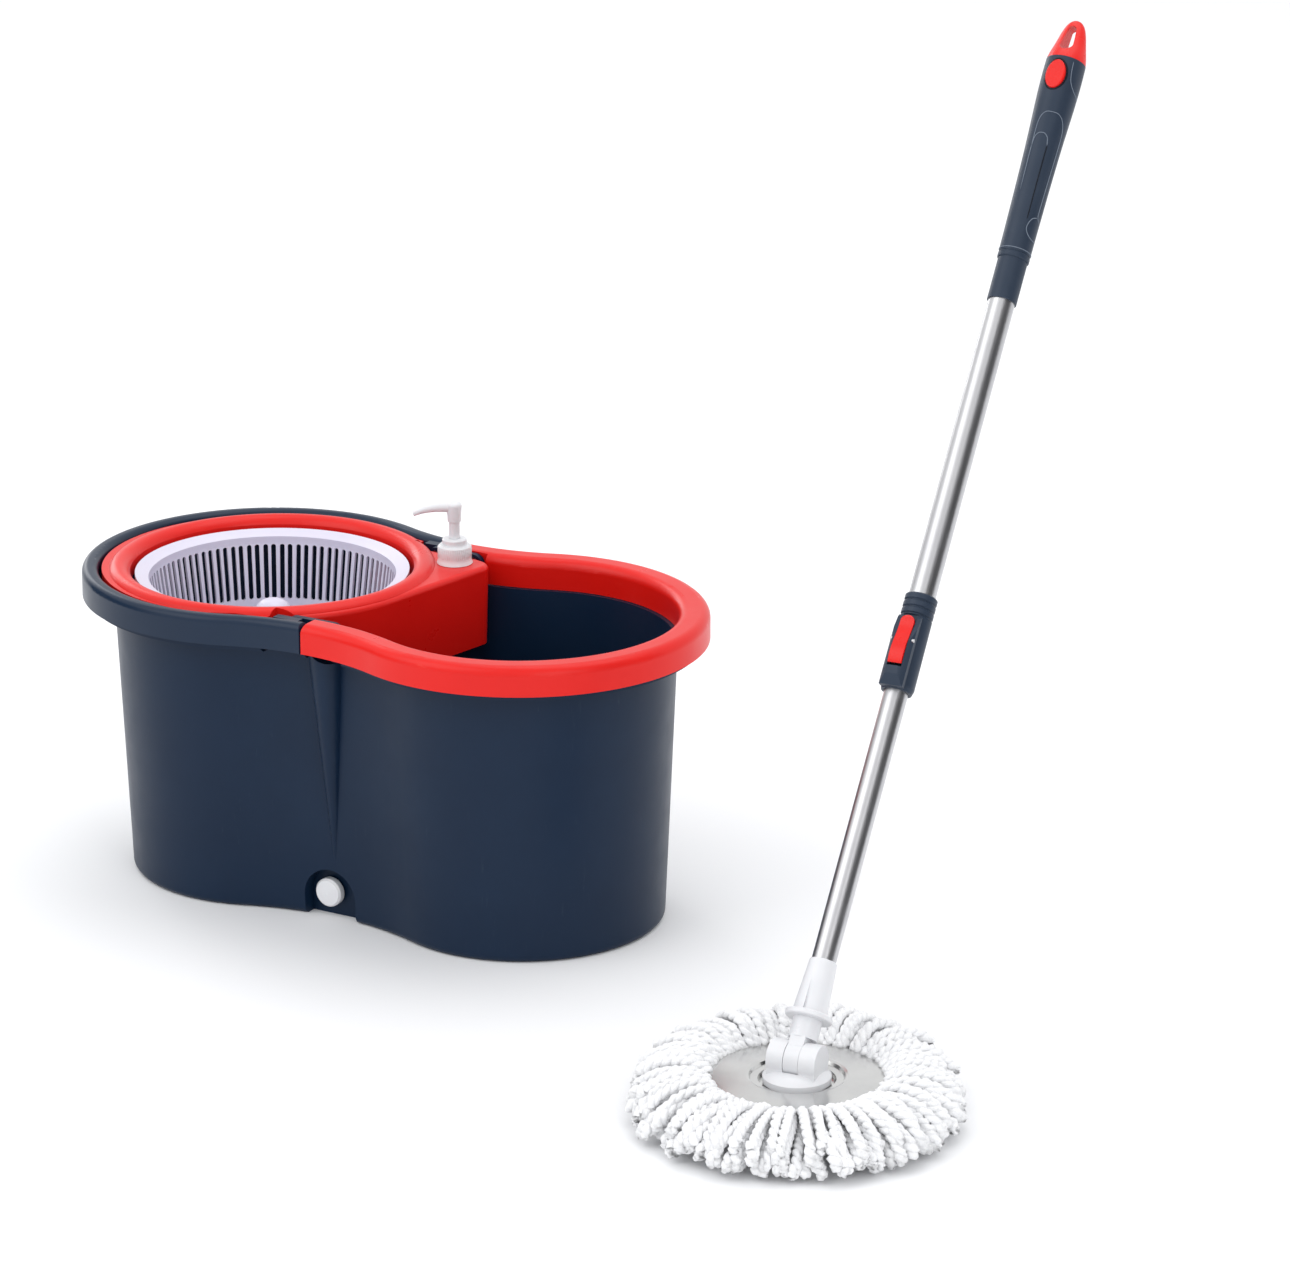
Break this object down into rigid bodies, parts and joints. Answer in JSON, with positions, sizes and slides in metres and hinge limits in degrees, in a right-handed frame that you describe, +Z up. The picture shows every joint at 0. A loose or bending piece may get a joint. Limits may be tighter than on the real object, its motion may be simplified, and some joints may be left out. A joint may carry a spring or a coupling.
{
  "type": "spin mop and bucket set",
  "caption": "Two-lobed mop bucket with a turning wringer basket, swing-up carry handles, soap pump and drain plug, with a telescopic round-headed yarn mop standing beside it.",
  "frame": {"origin": "middle of the bucket's base, on the floor", "axes": "+X from the basket lobe towards the wash lobe, along the bucket's long side; +Z up; -Y towards the side with the drain plug and the mop's foot"},
  "size_m": [0.9545, 0.6815, 0.7559],
  "materials": {
    "bucket_plastic": "moulded satin navy with a fine grain",
    "red_guard_plastic": "moulded semi-gloss red",
    "white_fitting_plastic": "moulded white",
    "navy_handle_plastic": "moulded satin navy",
    "red_handle_plastic": "moulded semi-gloss red",
    "steel_pins": "turned",
    "basket_plastic": "moulded semi-gloss pale lilac white",
    "bearing_plastic": "low-friction moulding",
    "reservoir_plastic": "blow-moulded, milky",
    "pump_plastic": "moulded white",
    "spring_steel": "drawn wire",
    "seal_rubber": "moulded",
    "navy_fitting_plastic": "moulded satin navy",
    "plate_steel": "pressed and polished",
    "tube_steel": "polished stainless",
    "rod_steel": "twisted bar, zinc plated",
    "red_trim_plastic": "moulded semi-gloss red",
    "mop_yarn": "soft microfibre chenille"
  },
  "bodies": {
    "bucket": {"bucket_shell": "bucket_plastic", "splash_guard": "red_guard_plastic", "handle_pins": "steel_pins", "basket_post": "bucket_plastic", "basket_axle": "steel_pins", "thrust_washer": "bearing_plastic", "detergent_reservoir": "reservoir_plastic", "pump_cylinder": "pump_plastic", "pump_valve_ball": "spring_steel", "dip_tube": "pump_plastic", "pump_closure": "pump_plastic", "pump_spring": "spring_steel", "drain_bush": "navy_fitting_plastic"},
    "wash_handle": {"wash_side_handle": "red_handle_plastic"},
    "basket_handle": {"basket_side_handle": "navy_handle_plastic"},
    "spinner": {"spin_basket": "basket_plastic", "hub_dome": "basket_plastic", "basket_bearing": "bearing_plastic"},
    "pump_plunger": {"pump_stem": "pump_plastic"},
    "pump_nozzle": {"pump_head": "pump_plastic"},
    "drain_stopper": {"drain_plug": "white_fitting_plastic", "drain_seal": "seal_rubber"},
    "mop_head": {"yarn_ring": "mop_yarn", "clip_base": "white_fitting_plastic", "head_plate": "plate_steel"},
    "head_swivel": {"swivel_base": "white_fitting_plastic", "swivel_washer": "bearing_plastic", "swivel_screw": "steel_pins", "tilt_pin": "steel_pins"},
    "lower_pole": {"tilt_knuckle": "white_fitting_plastic", "pole_socket": "white_fitting_plastic", "lower_tube": "tube_steel", "guide_bush": "bearing_plastic", "clutch_housing": "bearing_plastic"},
    "drive": {"drive_nut": "bearing_plastic"},
    "upper_pole": {"upper_tube": "tube_steel", "rod_anchor": "bearing_plastic", "twist_rod": "rod_steel", "lock_housing": "navy_fitting_plastic", "lock_bush": "bearing_plastic", "lever_pin": "steel_pins", "grip_sleeve": "navy_fitting_plastic", "grip_collar": "navy_fitting_plastic", "grip": "navy_fitting_plastic", "hang_loop": "red_trim_plastic"},
    "lock": {"lock_lever": "red_trim_plastic", "lock_pad": "seal_rubber"},
    "height_button": {"grip_button": "red_trim_plastic"}
  },
  "joints": [
    {"name": "wash_handle_lift", "type": "hinge", "parent": "bucket", "child": "wash_handle", "pos_m": [0.014, 0, 0.2635], "axis": [0, -1, 0], "range_deg": [0, 91]},
    {"name": "basket_handle_lift", "type": "hinge", "parent": "bucket", "child": "basket_handle", "pos_m": [-0.026, 0, 0.2635], "axis": [0, 1, 0], "range_deg": [0, 91]},
    {"name": "basket_spin", "type": "hinge", "parent": "bucket", "child": "spinner", "pos_m": [-0.122, 0, 0.15], "axis": [0, 0, 1], "continuous": true},
    {"name": "pump_press", "type": "slide", "parent": "bucket", "child": "pump_plunger", "axis": [0, 0, -1], "range_m": [0, 0.012], "stiffness_N_per_m": 150, "springref_m": -0.006, "deforming": ["pump_spring"]},
    {"name": "nozzle_turn", "type": "hinge", "parent": "pump_plunger", "child": "pump_nozzle", "pos_m": [0.009, 0.084, 0.308], "axis": [0, 0, 1], "continuous": true},
    {"name": "drain_pull", "type": "slide", "parent": "bucket", "child": "drain_stopper", "axis": [0, -1, 0], "range_m": [0, 0.025]},
    {"name": "mop_lift", "type": "slide", "parent": "bucket", "child": "mop_head", "axis": [0, 0, 1], "range_m": [0, 0.45]},
    {"name": "head_spin", "type": "hinge", "parent": "mop_head", "child": "head_swivel", "pos_m": [0.5405, -0.2676, 0.0176], "axis": [0, 0, 1], "continuous": true},
    {"name": "pole_tilt", "type": "hinge", "parent": "head_swivel", "child": "lower_pole", "pos_m": [0.5405, -0.2676, 0.047], "axis": [0.9958, 0.0915, 0], "range_deg": [-27, 103]},
    {"name": "pole_length", "type": "slide", "parent": "lower_pole", "child": "upper_pole", "axis": [-0.0563, 0.6131, 0.788], "range_m": [-0.2, 0.15]},
    {"name": "drive_turn", "type": "hinge", "parent": "lower_pole", "child": "drive", "pos_m": [0.51025, 0.06162, 0.47016], "axis": [-0.0563, 0.6131, 0.788], "continuous": true},
    {"name": "lock_flip", "type": "hinge", "parent": "upper_pole", "child": "lock", "pos_m": [0.52221, -0.0685, 0.32987], "axis": [-0.9958, -0.0915, 0], "range_deg": [0, 8]},
    {"name": "button_press", "type": "slide", "parent": "upper_pole", "child": "height_button", "axis": [-0.0721, 0.7847, -0.6157], "range_m": [0, 0.0015], "stiffness_N_per_m": 400, "springref_m": -0.001}
  ],
  "couplings": [
    {"joint": "drive_turn", "follows": "pole_length", "rad_per_m": -69.813}
  ]
}
